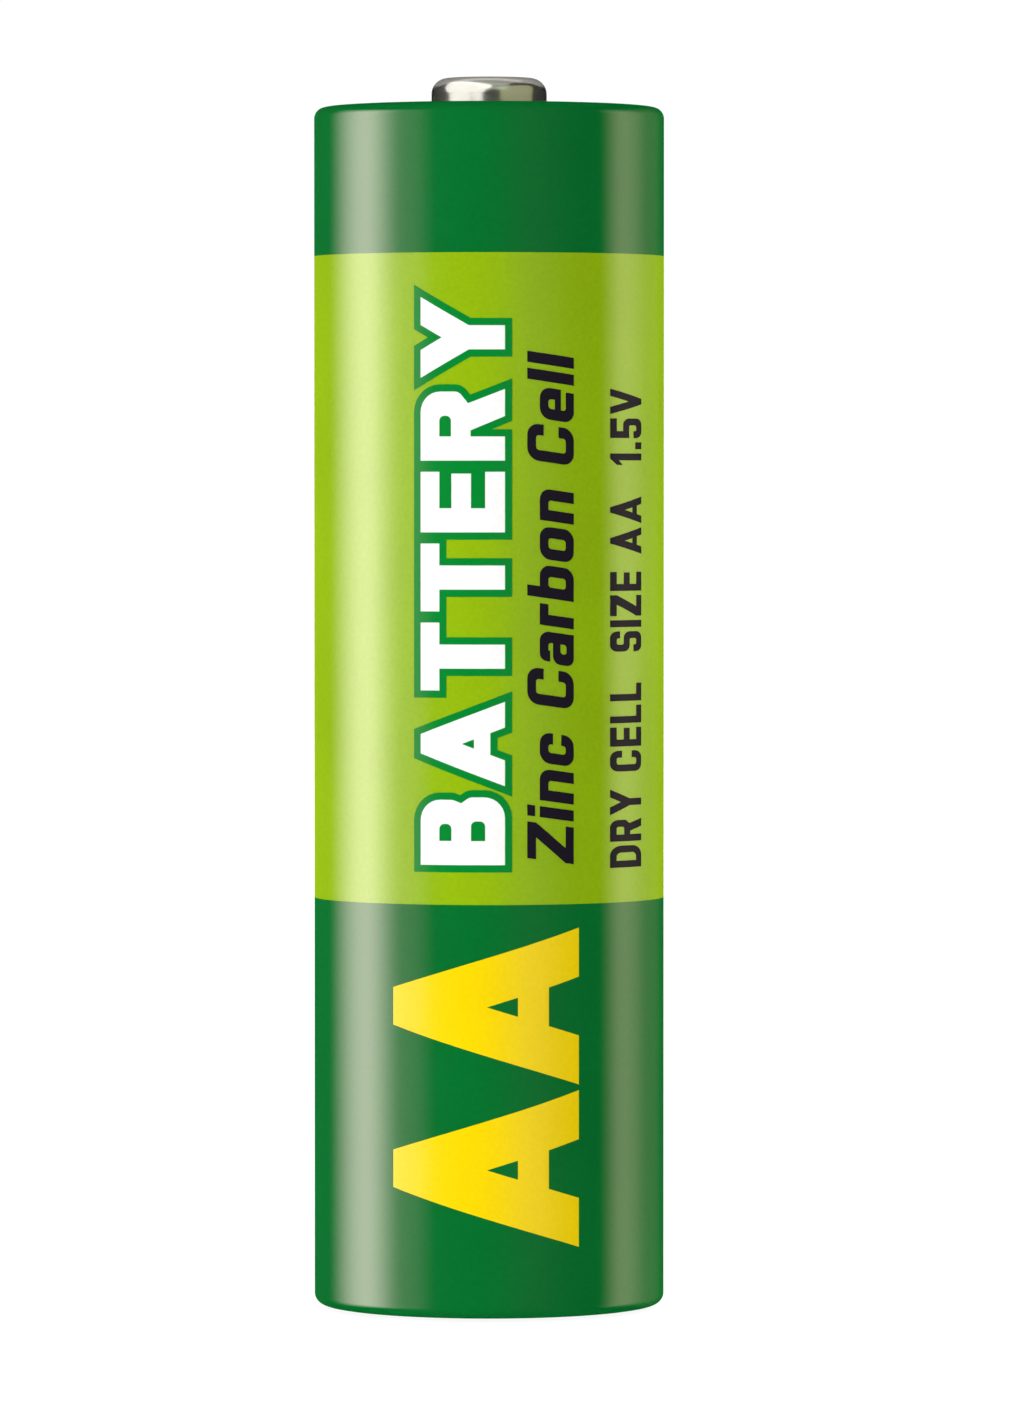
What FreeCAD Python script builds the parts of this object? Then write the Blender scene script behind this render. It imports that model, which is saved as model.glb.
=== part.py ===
"""Cylindrical dry battery cell, AA size, with a crimped tinplate jacket.

Millimetres. The origin is the centre of the negative contact face, and +Z runs along the cell's
axis to the positive contact. The jacket's lap seam is at the back, on the +Y side.
One STEP file per piece goes to parts/. Every piece is turned from a profile drawn as (radius, height),
except the wound papers and the jacket's lap, which are drawn across the axis and extruded.
"""

import FreeCAD, Part
import math
import os

# ---- driving dimensions -------------------------------------------------------------------------
CELL_DIAMETER = 14.3
CELL_HEIGHT = 50.2            # negative contact face to positive contact face
NUB_DIAMETER = 4.7
NUB_RISE = 1.2                # nub top above the jacket's top rim
BASE_RISE = 0.15              # jacket's bottom rim above the negative contact face
ROD_DIAMETER = 4.0

JACKET_SHEET = 0.15           # tinplate
CAP_SHEET = 0.28              # plated steel, positive end
PLATE_SHEET = 0.25            # plated steel, negative end
CAN_WALL = 0.32               # drawn zinc
SLEEVE_WALL = 0.06            # shrink tube
CUP_BOARD = 0.15              # paper cup under the mix
WASHER_BOARD = 0.35           # paper washer on the mix

GAP = 0.01                    # between pieces that only touch
CLEAR = 0.02                  # between pieces that slide together when the cell is put together

BOARD_EDGE = 0.05             # softened edges of punched board
SHEET_BEND = 0.2              # usual bend in pressed sheet
MOULD_BEND = 0.25             # usual bend in moulded plastic

# ---- sizes worked out from them -----------------------------------------------------------------
JACKET_R = CELL_DIAMETER / 2
JACKET_INNER_R = JACKET_R - JACKET_SHEET
JACKET_TOP = CELL_HEIGHT - NUB_RISE
NUB_R = NUB_DIAMETER / 2
ROD_R = ROD_DIAMETER / 2

# jacket ends: a rounded shoulder, then a lip that dips towards the insulating ring under it
SHOULDER_BEND = 0.45
LIP_R = 5.7
LIP_DIP = 0.1
LIP_SLOPE = LIP_DIP / (JACKET_R - LIP_R)
SHOULDER_HALF_ANGLE = (math.pi / 2 - math.atan(LIP_SLOPE)) / 2
RIM_TO_CORNER = SHOULDER_BEND * (1 / math.tan(SHOULDER_HALF_ANGLE) - 1)   # the bend takes this off the corner
TOP_CORNER = JACKET_TOP + RIM_TO_CORNER
BOTTOM_CORNER = BASE_RISE - RIM_TO_CORNER

# jacket seam: one edge steps down under the other
SEAM_ANGLE = 90.0             # degrees about +Z, the groove's place
SEAM_GROOVE = 0.25            # width at the surface
SEAM_LAP = 1.6                # length of the hidden tongue round the cell
SEAM_END_CLEAR = 0.75         # tongue stops this far short of each rim

# wound paper tube, between jacket and shrink tube
TUBE_PLY = 0.08
TUBE_TURNS = 2
TUBE_INNER_R = 6.65
TUBE_SEAM_CLEAR = 0.2         # along the surface, each side of the jacket's tongue

# shrink tube round the can, turned in over both ends
SLEEVE_R = 6.63
SLEEVE_LIP_R = 5.95
SLEEVE_BEND = 0.3

# insulating rings, between the jacket's lips and the ends of the shrink tube
RING_INNER_R = 5.35
RING_R = JACKET_INNER_R - 0.07
RING_THICKNESS = 0.38         # at the outside
RING_SHOULDER_BEND = 0.3      # follows the inside of the jacket's shoulder
RING_RIM_BEND = 0.08

# positive cap, outer face
CAP_RIM_R = 6.3
CAP_PAN_R = 5.05              # flat step round the nub
CAP_PAN_RISE = 0.22           # pan above the rim
CAP_RIM_BEND = 0.15
NUB_BEND = 0.65
NUB_FOOT_BEND = 0.35

# negative plate, outer face
PLATE_RIM_R = 6.3
PLATE_BOSS_R = 4.3
PLATE_BOSS_BEND = 0.35
PLATE_SLOPE_RUN = 0.6         # the boss widens by this much on its way up to the rim
PLATE_RIM_BEND = 0.3

# zinc can
CAN_R = SLEEVE_R - SLEEVE_WALL - CLEAR
CAN_INNER_R = CAN_R - CAN_WALL
CAN_FOOT_BEND = 0.6
BEAD_DEPTH = 0.25             # rolled groove that grips the closure
BEAD_HALF_WIDTH = 0.45
BEAD_BELOW_MOUTH = 1.4
BEAD_SPREAD = 0.14            # the groove the closure needs is this much wider at each side

# closure moulded in polyethylene
CLOSURE_FLANGE = 0.67
CLOSURE_HUB_R = 3.0
CLOSURE_WELL_R = 5.1
CLOSURE_WEB = 0.75
CLOSURE_HUB_DROP = 0.6        # hub reaches below the web
CLOSURE_SKIRT_WALL = 0.7
CLOSURE_SKIRT_DROP = 1.0
CLOSURE_WELL_DEPTH = 1.37
CLOSURE_BORE_EDGE = 0.1
CLOSURE_WELL_EDGE = 0.15
BITUMEN_DEPTH = 0.95
MENISCUS_BEND = 6.0
MENISCUS_CORNER = 0.4         # the bend's corner is this far below the level at the walls

# inside the can
ROD_FOOT = 4.2                # carbon rod stops in the mix, above the base
ROD_CHAMFER = 0.4
MIX_R = 6.02
MIX_TOP = 43.6
MIX_TOP_EDGE = 0.15
MIX_FOOT_BEND = 0.3
CUP_HEIGHT = 3.35
CUP_FOOT_BEND = 0.4
WASHER_CLEAR = 0.03           # round the rod
LINER_PAPER = 0.05
LINER_PASTE = 0.03
LINER_PITCH = 0.09
LINER_INNER_R = MIX_R + GAP
LINER_OVERLAP = 25.0          # degrees past one full turn
LINER_TOP = 44.6

# ---- heights that several pieces share ----------------------------------------------------------
PLATE_SEAT = BASE_RISE + JACKET_SHEET + GAP + RING_THICKNESS      # underside of the bottom sleeve lip
PLATE_RIM_Z = PLATE_SEAT + SLEEVE_WALL                            # underside of the plate's rim
CAN_BASE_Z = PLATE_RIM_Z + PLATE_SHEET                            # underside of the can
CAN_FLOOR_Z = CAN_BASE_Z + CAN_WALL
CAP_SEAT = JACKET_TOP - JACKET_SHEET - GAP - RING_THICKNESS       # top of the upper sleeve lip
CAP_RIM_Z = CAP_SEAT - SLEEVE_WALL                                # top of the cap's rim
CLOSURE_TOP = CAP_RIM_Z - CAP_SHEET
CAN_MOUTH_Z = CLOSURE_TOP - CLOSURE_FLANGE
BEAD_Z = CAN_MOUTH_Z - BEAD_BELOW_MOUTH
NUB_CEILING_Z = CELL_HEIGHT - CAP_SHEET


# ---- drawing helpers ----------------------------------------------------------------------------
def unit(start, end):
    """Direction from one (x, y) point to another."""
    dx, dy = end[0] - start[0], end[1] - start[1]
    length = math.hypot(dx, dy)
    return dx / length, dy / length


def rounded_edges(corners, closed, plane):
    """Edges through corners (x, y, bend radius), with a tangent arc at each corner whose radius isn't 0."""
    count = len(corners)
    spans = []
    for i, (x, y, radius) in enumerate(corners):
        at_end = not closed and i in (0, count - 1)
        if radius == 0 or at_end:
            spans.append(((x, y), None, (x, y)))
            continue
        before = unit((x, y), corners[i - 1])
        after = unit((x, y), corners[(i + 1) % count])
        cosine = before[0] * after[0] + before[1] * after[1]
        half = math.acos(max(-1.0, min(1.0, cosine))) / 2
        run = radius / math.tan(half)
        middle = unit((0, 0), (before[0] + after[0], before[1] + after[1]))
        reach = radius / math.sin(half) - radius
        spans.append((
            (x + before[0] * run, y + before[1] * run),
            (x + middle[0] * reach, y + middle[1] * reach),
            (x + after[0] * run, y + after[1] * run),
        ))
    edges = []
    for i, (enter, middle, leave) in enumerate(spans):
        if middle is not None:
            edges.append(Part.Arc(plane(enter), plane(middle), plane(leave)).toShape())
        if i + 1 == count and not closed:
            break
        following = spans[(i + 1) % count][0]
        if math.hypot(following[0] - leave[0], following[1] - leave[1]) > 1e-6:
            edges.append(Part.LineSegment(plane(leave), plane(following)).toShape())
    return edges


def upright(point):
    """(radius, height) to a point in the XZ plane."""
    return FreeCAD.Vector(point[0], 0, point[1])


def polar(radius, degrees):
    """A point in the XY plane."""
    angle = math.radians(degrees)
    return FreeCAD.Vector(radius * math.cos(angle), radius * math.sin(angle), 0)


def turned(corners, start=0.0, sweep=360.0):
    """Solid of revolution from a closed outline of (radius, height, bend radius) corners."""
    wire = Part.Wire(Part.__sortEdges__(rounded_edges(corners, True, upright)))
    face = Part.Face(wire)
    axis = FreeCAD.Vector(0, 0, 1)
    origin = FreeCAD.Vector(0, 0, 0)
    face.rotate(origin, axis, start)
    return face.revolve(origin, axis, sweep)


def sheet(path, thickness):
    """Closed outline of a bent sheet: path is one face of it, and the thickness lies on the path's left."""
    back = []
    for i, (x, y, radius) in enumerate(path):
        into = unit(path[i - 1], path[i]) if i else unit(path[0], path[1])
        out = unit(path[i], path[i + 1]) if i + 1 < len(path) else into
        cross = into[0] * out[1] - into[1] * out[0]
        turn = math.atan2(cross, into[0] * out[0] + into[1] * out[1])
        aside = unit((0, 0), (-into[1] - out[1], into[0] + out[0]))
        reach = thickness / math.cos(turn / 2)
        bend = max(0.0, radius - thickness * math.copysign(1, turn)) if radius else 0
        back.append((x + aside[0] * reach, y + aside[1] * reach, bend))
    return list(path) + back[::-1]


def wound(inner_radius, thickness, pitch, sweep, start, bottom, top):
    """A strip wound round the axis, as half-turn arcs about two centres, growing by pitch each turn."""
    arcs = []
    first = inner_radius + pitch / 4
    done = 0.0
    while done < sweep:
        turn = len(arcs)
        centre = FreeCAD.Vector(pitch / 4 * (1 if turn % 2 else -1), 0, 0)
        arcs.append((centre, first + turn * pitch / 2, done, min(done + 180.0, sweep)))
        done += 180.0

    def run(extra):
        found = []
        for centre, radius, begin, end in arcs:
            points = [centre + polar(radius + extra, a) for a in (begin, (begin + end) / 2, end)]
            found.append(Part.Arc(*points).toShape())
        return found

    inner, outer = run(0.0), run(thickness)
    ends = [
        Part.LineSegment(inner[0].Vertexes[0].Point, outer[0].Vertexes[0].Point).toShape(),
        Part.LineSegment(inner[-1].Vertexes[-1].Point, outer[-1].Vertexes[-1].Point).toShape(),
    ]
    wire = Part.Wire(Part.__sortEdges__(inner + outer + ends))
    strip = Part.Face(wire).extrude(FreeCAD.Vector(0, 0, top - bottom))
    strip.translate(FreeCAD.Vector(0, 0, bottom))
    strip.rotate(FreeCAD.Vector(0, 0, 0), FreeCAD.Vector(0, 0, 1), start)
    return strip


# ---- jacket -------------------------------------------------------------------------------------
GROOVE_SWEEP = math.degrees(SEAM_GROOVE / JACKET_R)
LAP_SWEEP = math.degrees(SEAM_LAP / JACKET_R)
STEP_SWEEP = 0.8 * GROOVE_SWEEP           # the sheet is down at the tongue's level by here
TONGUE_R = JACKET_INNER_R - GAP


def outer_jacket():
    wall = sheet([
        (LIP_R, BOTTOM_CORNER + LIP_DIP, 0),
        (JACKET_R, BOTTOM_CORNER, SHOULDER_BEND),
        (JACKET_R, TOP_CORNER, SHOULDER_BEND),
        (LIP_R, TOP_CORNER - LIP_DIP, 0),
    ], JACKET_SHEET)
    tube = turned(wall, SEAM_ANGLE + GROOVE_SWEEP, 360.0 - GROOVE_SWEEP)
    step_end = SEAM_ANGLE + STEP_SWEEP
    lap_end = SEAM_ANGLE + LAP_SWEEP
    lap_middle = (step_end + lap_end) / 2
    under = TONGUE_R - JACKET_SHEET
    edges = [
        Part.LineSegment(polar(JACKET_R, SEAM_ANGLE), polar(TONGUE_R, step_end)).toShape(),
        Part.Arc(polar(TONGUE_R, step_end), polar(TONGUE_R, lap_middle), polar(TONGUE_R, lap_end)).toShape(),
        Part.LineSegment(polar(TONGUE_R, lap_end), polar(under, lap_end)).toShape(),
        Part.Arc(polar(under, lap_end), polar(under, lap_middle), polar(under, step_end)).toShape(),
        Part.LineSegment(polar(under, step_end), polar(JACKET_INNER_R, SEAM_ANGLE)).toShape(),
        Part.LineSegment(polar(JACKET_INNER_R, SEAM_ANGLE), polar(JACKET_R, SEAM_ANGLE)).toShape(),
    ]
    bottom = BASE_RISE + SEAM_END_CLEAR
    tongue = Part.Face(Part.Wire(edges)).extrude(FreeCAD.Vector(0, 0, JACKET_TOP - SEAM_END_CLEAR - bottom))
    tongue.translate(FreeCAD.Vector(0, 0, bottom))
    return tube.fuse(tongue)


# ---- insulation ---------------------------------------------------------------------------------
def ring(seat, corner, up):
    """Insulating ring from a sleeve lip at height seat to the jacket's lip, which starts at height corner."""

    def under_lip(radius):
        return corner - up * (JACKET_SHEET + GAP + LIP_SLOPE * (JACKET_R - radius))

    return turned([
        (RING_INNER_R, seat, BOARD_EDGE),
        (RING_R, seat, BOARD_EDGE),
        (RING_R, under_lip(RING_R), RING_SHOULDER_BEND),
        (RING_INNER_R, under_lip(RING_INNER_R), RING_RIM_BEND),
    ])


def top_insulating_ring():
    return ring(CAP_SEAT, TOP_CORNER, 1)


def bottom_insulating_ring():
    return ring(PLATE_SEAT, BOTTOM_CORNER, -1)


def paper_tube():
    tongue_side = math.degrees(TUBE_SEAM_CLEAR / TUBE_INNER_R)
    start = SEAM_ANGLE + LAP_SWEEP + tongue_side
    sweep = 360.0 * TUBE_TURNS - LAP_SWEEP - 2 * tongue_side
    return wound(TUBE_INNER_R, TUBE_PLY, TUBE_PLY + GAP, sweep, start, PLATE_SEAT + CLEAR, CAP_SEAT - CLEAR)


def shrink_sleeve():
    return turned(sheet([
        (SLEEVE_LIP_R, PLATE_SEAT, 0),
        (SLEEVE_R, PLATE_SEAT, SLEEVE_BEND),
        (SLEEVE_R, CAP_SEAT, SLEEVE_BEND),
        (SLEEVE_LIP_R, CAP_SEAT, 0),
    ], SLEEVE_WALL))


# ---- terminals ----------------------------------------------------------------------------------
def positive_cap():
    pan = CAP_RIM_Z + CAP_PAN_RISE
    path = [
        (0, CELL_HEIGHT, 0),
        (NUB_R, CELL_HEIGHT, NUB_BEND),
        (NUB_R, pan, NUB_FOOT_BEND),
        (CAP_PAN_R, pan, SHEET_BEND),
        (CAP_PAN_R + CAP_PAN_RISE, CAP_RIM_Z, CAP_RIM_BEND),
        (CAP_RIM_R, CAP_RIM_Z, 0),
    ]
    return turned(sheet(path, -CAP_SHEET))


def negative_plate():
    path = [
        (0, 0, 0),
        (PLATE_BOSS_R, 0, PLATE_BOSS_BEND),
        (PLATE_BOSS_R + PLATE_SLOPE_RUN, PLATE_RIM_Z, PLATE_RIM_BEND),
        (PLATE_RIM_R, PLATE_RIM_Z, 0),
    ]
    return turned(sheet(path, PLATE_SHEET))


# ---- can and its closure ------------------------------------------------------------------------
def bead(radius, depth, spread):
    """Corners of the rolled groove, going up a wall at this radius."""
    mouth = BEAD_HALF_WIDTH + spread
    floor = BEAD_HALF_WIDTH / 3 + spread
    return [
        (radius, BEAD_Z - mouth, SHEET_BEND),
        (radius - depth, BEAD_Z - floor, SHEET_BEND),
        (radius - depth, BEAD_Z + floor, SHEET_BEND),
        (radius, BEAD_Z + mouth, SHEET_BEND),
    ]


def zinc_can():
    return turned(sheet(
        [(0, CAN_BASE_Z, 0), (CAN_R, CAN_BASE_Z, CAN_FOOT_BEND)]
        + bead(CAN_R, BEAD_DEPTH, 0.0)
        + [(CAN_R, CAN_MOUTH_Z, 0)],
        CAN_WALL,
    ))


def sealing_closure():
    plug_r = CAN_INNER_R - CLEAR
    well_floor = CLOSURE_TOP - CLOSURE_WELL_DEPTH
    web_under = well_floor - CLOSURE_WEB
    bore = ROD_R + GAP
    skirt_inner = plug_r - CLOSURE_SKIRT_WALL
    outline = [
        (bore, web_under - CLOSURE_HUB_DROP, CLOSURE_BORE_EDGE),
        (CLOSURE_HUB_R, web_under - CLOSURE_HUB_DROP, MOULD_BEND),
        (CLOSURE_HUB_R, web_under, MOULD_BEND),
        (skirt_inner, web_under, MOULD_BEND),
        (skirt_inner, web_under - CLOSURE_SKIRT_DROP, MOULD_BEND),
        (plug_r, web_under - CLOSURE_SKIRT_DROP, MOULD_BEND),
    ]
    outline += bead(plug_r, BEAD_DEPTH + CLEAR, BEAD_SPREAD)
    outline += [
        (plug_r, CAN_MOUTH_Z, 0),
        (CAN_R, CAN_MOUTH_Z, 0),
        (CAN_R, CLOSURE_TOP, MOULD_BEND),
        (CLOSURE_WELL_R, CLOSURE_TOP, CLOSURE_WELL_EDGE),
        (CLOSURE_WELL_R, well_floor, 0),
        (bore, well_floor, 0),
    ]
    return turned(outline)


def bitumen_seal():
    floor = CLOSURE_TOP - CLOSURE_WELL_DEPTH
    level_top = floor + BITUMEN_DEPTH
    inner, outer = ROD_R + GAP, CLOSURE_WELL_R - GAP
    middle = (inner + outer) / 2
    return turned([
        (inner, floor, 0),
        (outer, floor, 0),
        (outer, level_top, 0),
        (middle, level_top - MENISCUS_CORNER, MENISCUS_BEND),
        (inner, level_top, 0),
    ])


# ---- electrodes and what parts them -------------------------------------------------------------
def carbon_rod():
    c = ROD_CHAMFER
    return turned([
        (0, ROD_FOOT, 0),
        (ROD_R - c, ROD_FOOT, 0),
        (ROD_R, ROD_FOOT + c, 0),
        (ROD_R, NUB_CEILING_Z - c, 0),
        (ROD_R - c, NUB_CEILING_Z, 0),
        (0, NUB_CEILING_Z, 0),
    ])


def cathode_mix():
    cup_top = CAN_FLOOR_Z + CUP_HEIGHT
    inside_cup = MIX_R - CUP_BOARD - CLEAR
    bore = ROD_R + GAP
    return turned([
        (0, CAN_FLOOR_Z + CUP_BOARD, 0),
        (inside_cup, CAN_FLOOR_Z + CUP_BOARD, MIX_FOOT_BEND),
        (inside_cup, cup_top + CLEAR, 0),
        (MIX_R, cup_top + CLEAR, 0),
        (MIX_R, MIX_TOP, MIX_TOP_EDGE),
        (bore, MIX_TOP, 0),
        (bore, ROD_FOOT - GAP, 0),
        (0, ROD_FOOT - GAP, 0),
    ])


def bottom_paper_cup():
    return turned(sheet([
        (0, CAN_FLOOR_Z, 0),
        (MIX_R, CAN_FLOOR_Z, CUP_FOOT_BEND),
        (MIX_R, CAN_FLOOR_Z + CUP_HEIGHT, 0),
    ], CUP_BOARD))


def top_paper_washer():
    inner = ROD_R + WASHER_CLEAR
    return turned([
        (inner, MIX_TOP, 0),
        (MIX_R, MIX_TOP, 0),
        (MIX_R, MIX_TOP + WASHER_BOARD, BOARD_EDGE),
        (inner, MIX_TOP + WASHER_BOARD, BOARD_EDGE),
    ])


def liner_layer(inner_radius, thickness):
    bottom = CAN_FLOOR_Z + CAN_FOOT_BEND / 2
    return wound(inner_radius, thickness, LINER_PITCH, 360.0 + LINER_OVERLAP, -90.0, bottom, LINER_TOP)


def separator_liner():
    return liner_layer(LINER_INNER_R, LINER_PAPER)


def separator_paste():
    return liner_layer(LINER_INNER_R + LINER_PAPER, LINER_PASTE)


PIECES = [
    outer_jacket,
    top_insulating_ring,
    bottom_insulating_ring,
    positive_cap,
    negative_plate,
    paper_tube,
    shrink_sleeve,
    zinc_can,
    sealing_closure,
    bitumen_seal,
    carbon_rod,
    cathode_mix,
    separator_liner,
    separator_paste,
    top_paper_washer,
    bottom_paper_cup,
]


def main():
    os.makedirs("parts", exist_ok=True)
    for piece in PIECES:
        shape = piece()
        solids = shape.Solids
        assert len(solids) == 1, f"{piece.__name__} has {len(solids)} solids"
        assert solids[0].isValid(), f"{piece.__name__} isn't valid"
        solids[0].exportStep(f"parts/{piece.__name__}.step")
        box = solids[0].BoundBox
        print(f"{piece.__name__}: {solids[0].Volume:.2f} mm3, z {box.ZMin:.3f} to {box.ZMax:.3f}")


main()
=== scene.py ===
"""Looks of an AA dry cell with a printed tinplate jacket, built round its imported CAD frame.

Metres, in the row frame: +Z is up to the positive contact, and the front, with the large lettering, faces -Y.
An azimuth here is measured round +Z from the front, towards +X, in degrees unless a comment says otherwise.
"""

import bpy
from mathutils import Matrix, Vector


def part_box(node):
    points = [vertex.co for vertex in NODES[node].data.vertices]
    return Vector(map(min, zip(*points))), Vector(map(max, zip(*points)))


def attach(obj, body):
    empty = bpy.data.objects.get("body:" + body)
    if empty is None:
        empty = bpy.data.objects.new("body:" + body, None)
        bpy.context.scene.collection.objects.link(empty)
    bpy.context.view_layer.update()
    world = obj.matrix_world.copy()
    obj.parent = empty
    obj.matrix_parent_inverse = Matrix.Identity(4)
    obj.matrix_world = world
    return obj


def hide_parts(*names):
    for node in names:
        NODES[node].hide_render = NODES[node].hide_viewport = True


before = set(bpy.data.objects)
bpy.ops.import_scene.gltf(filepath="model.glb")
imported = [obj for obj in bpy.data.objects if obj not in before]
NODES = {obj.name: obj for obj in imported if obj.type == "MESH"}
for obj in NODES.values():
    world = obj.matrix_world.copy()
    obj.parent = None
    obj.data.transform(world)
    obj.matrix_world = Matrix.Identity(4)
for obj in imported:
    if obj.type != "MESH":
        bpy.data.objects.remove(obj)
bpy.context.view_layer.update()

import math

import bmesh
import bpy
import numpy as np
from mathutils import Vector
from mathutils.geometry import delaunay_2d_cdt

MM = 0.001

# ---- places read from the frame -----------------------------------------------------------------
jacket_low, jacket_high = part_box("outer_jacket")
JACKET_R = jacket_high.y
JACKET_BOTTOM = jacket_low.z
JACKET_TOP = jacket_high.z
JACKET_MIDDLE = (JACKET_TOP + JACKET_BOTTOM) / 2
CELL_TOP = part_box("positive_cap")[1].z

# ---- print layout -------------------------------------------------------------------------------
LOWER_BAND_TOP = JACKET_BOTTOM + 16.65 * MM
UPPER_BAND_BOTTOM = JACKET_TOP - 6.06 * MM
LIP_MARGIN_R = 5.78 * MM               # the tin is bare inside this radius, at the lips' cut edges

# ---- jacket section, as in the CAD --------------------------------------------------------------
SHEET = 0.15 * MM
SHOULDER_BEND = 0.45 * MM
LIP_R = 5.7 * MM
LIP_DIP = 0.1 * MM
SEAM_ANGLE = 90.0                      # degrees from +X, where the groove starts
SEAM_WIDTH = 2.0                       # degrees
SEAM_DEPTH = 0.12 * MM
COLUMN_STEP = 1.5                      # degrees between the jacket's columns of points
BEND_STEPS = 10                        # in each of its bends
SHARP_EDGE = math.radians(35)

# ---- colours ------------------------------------------------------------------------------------
DARK_GREEN = (0.0, 0.158, 0.024, 1.0)
LIME = (0.29, 0.48, 0.003, 1.0)
OUTLINE_GREEN = (0.0, 0.235, 0.028, 1.0)
YELLOW = (0.93, 0.67, 0.0, 1.0)
WHITE = (0.95, 0.95, 0.94, 1.0)
BLACK = (0.012, 0.009, 0.016, 1.0)
TIN = (0.66, 0.64, 0.6, 1.0)

# ---- the layer of ink -----------------------------------------------------------------------------
INK_PROUD = 0.014 * MM                 # of the printed tin, up to the jacket's full radius
INK_SUNK = 0.02 * MM                   # below the tin's face, hidden in the sheet
TIN_R = JACKET_R - INK_PROUD
INK_STEP = math.radians(2.5)           # the ink is cut this finely to bend round the jacket
POINT_MERGE = 1e-7                     # points of the lettering nearer than this, in metres, are one
CUT_MERGE = 1e-9
FLAT_ANGLE = 1e-4                      # edges of flat ink that turn less than this are dissolved


# ---- node helpers -------------------------------------------------------------------------------
def node(tree, kind, inputs=None, **settings):
    """A shader node, with its sockets linked or set from inputs and its properties from settings."""
    made = tree.nodes.new("ShaderNode" + kind)
    for key, value in settings.items():
        setattr(made, key, value)
    for socket, value in (inputs or {}).items():
        if isinstance(value, bpy.types.NodeSocket):
            tree.links.new(value, made.inputs[socket])
        else:
            made.inputs[socket].default_value = value
    return made


def new_material(name, **sockets):
    """A material with one Principled shader, whose uniform values are set on its own sockets."""
    material = bpy.data.materials.new(name)
    material.use_nodes = True
    tree = material.node_tree
    shader = tree.nodes["Principled BSDF"]
    for socket, value in sockets.items():
        shader.inputs[socket.replace("_", " ")].default_value = value
    position = node(tree, "TexCoord").outputs["Object"]
    return material, tree, shader, position


def noise(tree, position, size, detail=3.0, roughness=0.5, stretch=(1, 1, 1), distortion=0.0):
    """Noise between 0 and 1 with features of about the given size, stretched along the axes."""
    scaled = node(tree, "Mapping", {"Vector": position, "Scale": stretch}).outputs["Vector"]
    return node(tree, "TexNoise", {
        "Vector": scaled,
        "Scale": 1 / size,
        "Detail": detail,
        "Roughness": roughness,
        "Distortion": distortion,
    }).outputs["Fac"]


def ranged(tree, value, low, high, start=0.3, end=0.7, curve="LINEAR"):
    """value, mapped from start..end to low..high. Noise lies mostly between 0.3 and 0.7."""
    return node(tree, "MapRange", {
        "Value": value,
        "From Min": start,
        "From Max": end,
        "To Min": low,
        "To Max": high,
    }, interpolation_type=curve).outputs["Result"]


def mixed(tree, factor, first, second, blend="MIX"):
    """The colour between first and second at factor."""
    made = node(tree, "Mix", data_type="RGBA", blend_type=blend)
    for socket, value in (("Factor", factor), ("A", first), ("B", second)):
        index = {"Factor": 0, "A": 6, "B": 7}[socket]
        if isinstance(value, bpy.types.NodeSocket):
            tree.links.new(value, made.inputs[index])
        else:
            made.inputs[index].default_value = value
    return made.outputs[2]


def math_node(tree, operation, first, second=0.0):
    """The result of a sum on two values or sockets."""
    made = node(tree, "Math", operation=operation)
    for index, value in enumerate((first, second)):
        if isinstance(value, bpy.types.NodeSocket):
            tree.links.new(value, made.inputs[index])
        else:
            made.inputs[index].default_value = value
    return made.outputs[0]


def bumped(tree, shader, height, distance, socket="Normal"):
    """Adds a bump to the shader, as high as the distance in metres where the height is 1."""
    made = node(tree, "Bump", {"Height": height, "Distance": distance})
    tree.links.new(made.outputs["Normal"], shader.inputs[socket])


def part_of(tree, position, axis):
    """One coordinate of the position."""
    return node(tree, "SeparateXYZ", {"Vector": position}).outputs[axis]


def radius_of(tree, position):
    """Distance from the cell's axis."""
    flat = node(tree, "VectorMath", {0: position, 1: (1, 1, 0)}, operation="MULTIPLY").outputs["Vector"]
    return node(tree, "VectorMath", {0: flat}, operation="LENGTH").outputs["Value"]


# ---- materials ----------------------------------------------------------------------------------
VARNISH = {"Coat_Roughness": 0.1, "Coat_IOR": 2.0, "Specular_IOR_Level": 0.0}
TURNED = (0.25, 1.0)                   # facing, from where the gloss starts to fade to where it has faded
EDGE_GLOSS = 0.1                       # what is left of it there


def varnish(tree, shader, position, gloss=1.0):
    """A clear coat with a faint flow, whose gloss stays soft where the surface turns away."""
    facing = node(tree, "LayerWeight").outputs["Facing"]
    tree.links.new(ranged(tree, facing, gloss, EDGE_GLOSS * gloss, *TURNED), shader.inputs["Coat Weight"])
    flow = noise(tree, position, size=0.9 * MM, detail=2.0)
    bumped(tree, shader, flow, 0.0006 * MM, socket="Coat Normal")
    grain = noise(tree, position, size=0.12 * MM, detail=2.0)
    tree.links.new(ranged(tree, grain, 0.42, 0.5), shader.inputs["Roughness"])


def uneven(tree, position, colour, least=0.93):
    """The colour, dimmed to as little as least where the ink lies unevenly."""
    fine = noise(tree, position, size=0.16 * MM, detail=1.0)
    broad = noise(tree, position, size=5 * MM, detail=2.0)
    tone = math_node(tree, "MULTIPLY", ranged(tree, fine, least, 1.0), ranged(tree, broad, least, 1.0))
    return mixed(tree, 1.0, colour, tone, blend="MULTIPLY")


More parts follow.
